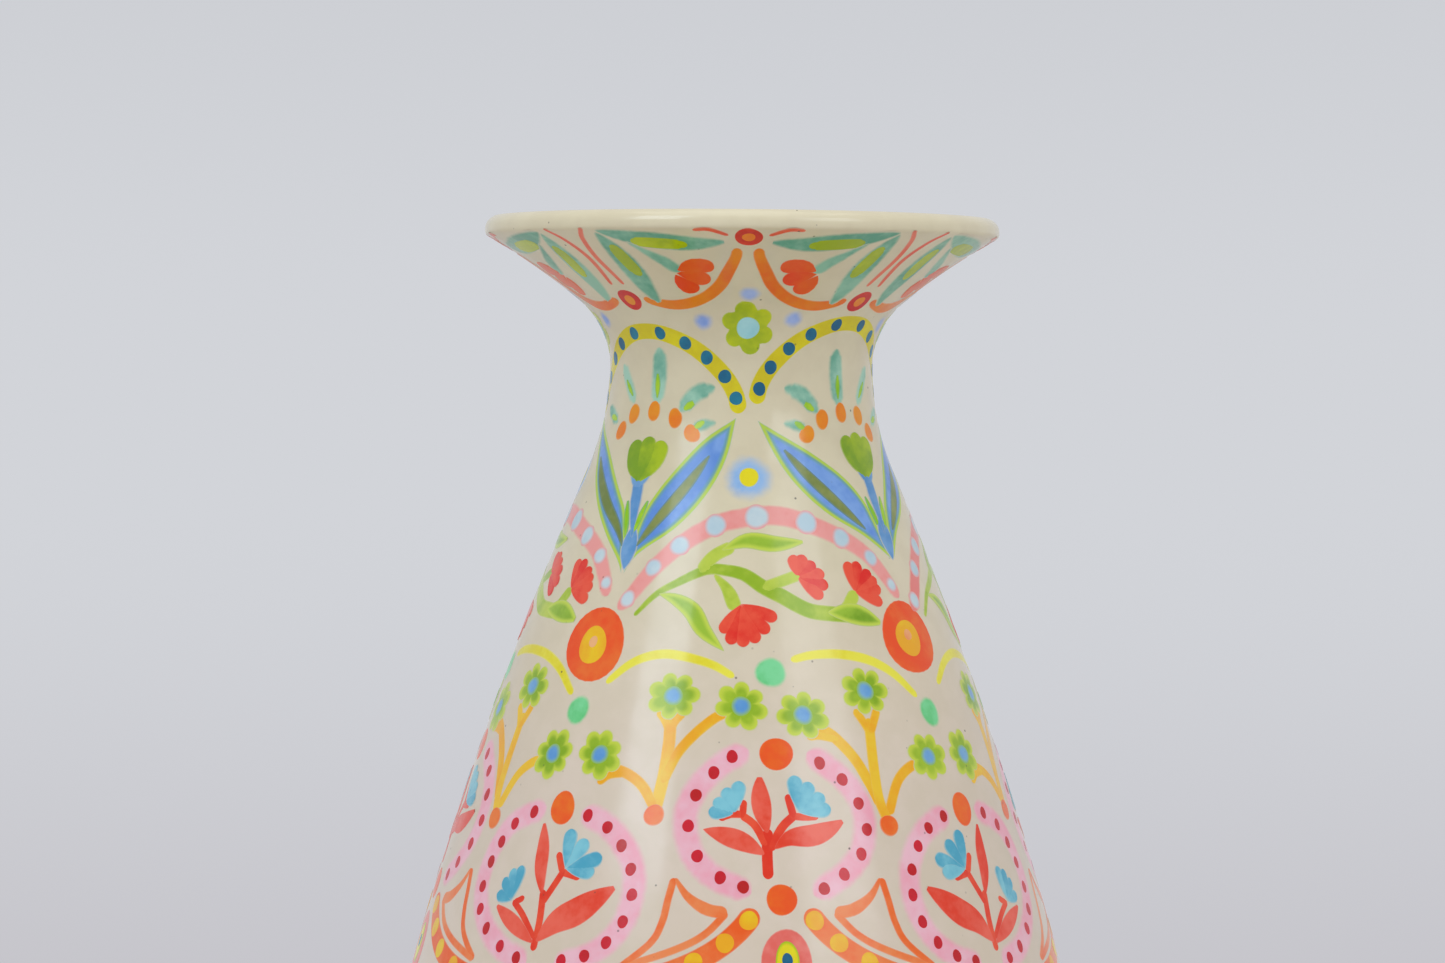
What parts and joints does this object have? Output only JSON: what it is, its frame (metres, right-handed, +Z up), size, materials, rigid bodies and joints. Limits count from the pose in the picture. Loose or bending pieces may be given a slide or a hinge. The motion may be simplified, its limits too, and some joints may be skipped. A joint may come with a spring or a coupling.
{
  "type": "pottery vase",
  "caption": "Tall pear-shaped ceramic vase with a narrow neck and a flared mouth, tin glazed and painted in raised enamel with flowers, dots and scallops.",
  "frame": {"origin": "centre of the foot ring's underside, on the surface that the vase stands on", "axes": "+Z up along the vase's axis, -Y towards the front of the decoration"},
  "size_m": [0.1842, 0.1842, 0.34],
  "materials": {
    "bare_clay": "matt bare fired clay",
    "enamel_blue": "glossy fired glaze",
    "enamel_coral": "glossy fired glaze",
    "enamel_green": "glossy fired glaze",
    "enamel_orange": "glossy fired glaze",
    "enamel_pink": "glossy fired glaze",
    "enamel_red": "glossy fired glaze",
    "enamel_yellow": "glossy fired glaze",
    "tin_glaze": "glossy fired glaze"
  },
  "bodies": {
    "root": {"base_section": "bare_clay", "enamel_belly_flowers": "enamel_coral", "enamel_belly_garland": "enamel_orange", "enamel_belly_seeds": "enamel_yellow", "enamel_belly_triangles": "enamel_orange", "enamel_bouquet_flowers": "enamel_green", "enamel_bouquet_stems": "enamel_orange", "enamel_carnations": "enamel_red", "enamel_fan_dots": "enamel_orange", "enamel_flare_arcs": "enamel_orange", "enamel_foot_line": "enamel_orange", "enamel_foot_petals": "enamel_green", "enamel_green_dots": "enamel_green", "enamel_halo_dots": "enamel_yellow", "enamel_lower_leaves": "enamel_blue", "enamel_lower_scallops": "enamel_coral", "enamel_medallion_blossoms": "enamel_blue", "enamel_medallion_rings": "enamel_pink", "enamel_medallion_sprigs": "enamel_red", "enamel_neck_arches": "enamel_yellow", "enamel_neck_flowers": "enamel_green", "enamel_neck_leaves": "enamel_blue", "enamel_orange_dots": "enamel_orange", "enamel_rim_dots": "enamel_red", "enamel_scallops": "enamel_coral", "enamel_shoulder_arcs": "enamel_yellow", "enamel_targets": "enamel_orange", "enamel_vines": "enamel_green", "foot_ring": "bare_clay", "inner_glaze": "tin_glaze", "lip_glaze": "tin_glaze", "neck_section": "bare_clay", "outer_glaze": "tin_glaze", "shoulder_section": "bare_clay"}
  },
  "joints": []
}
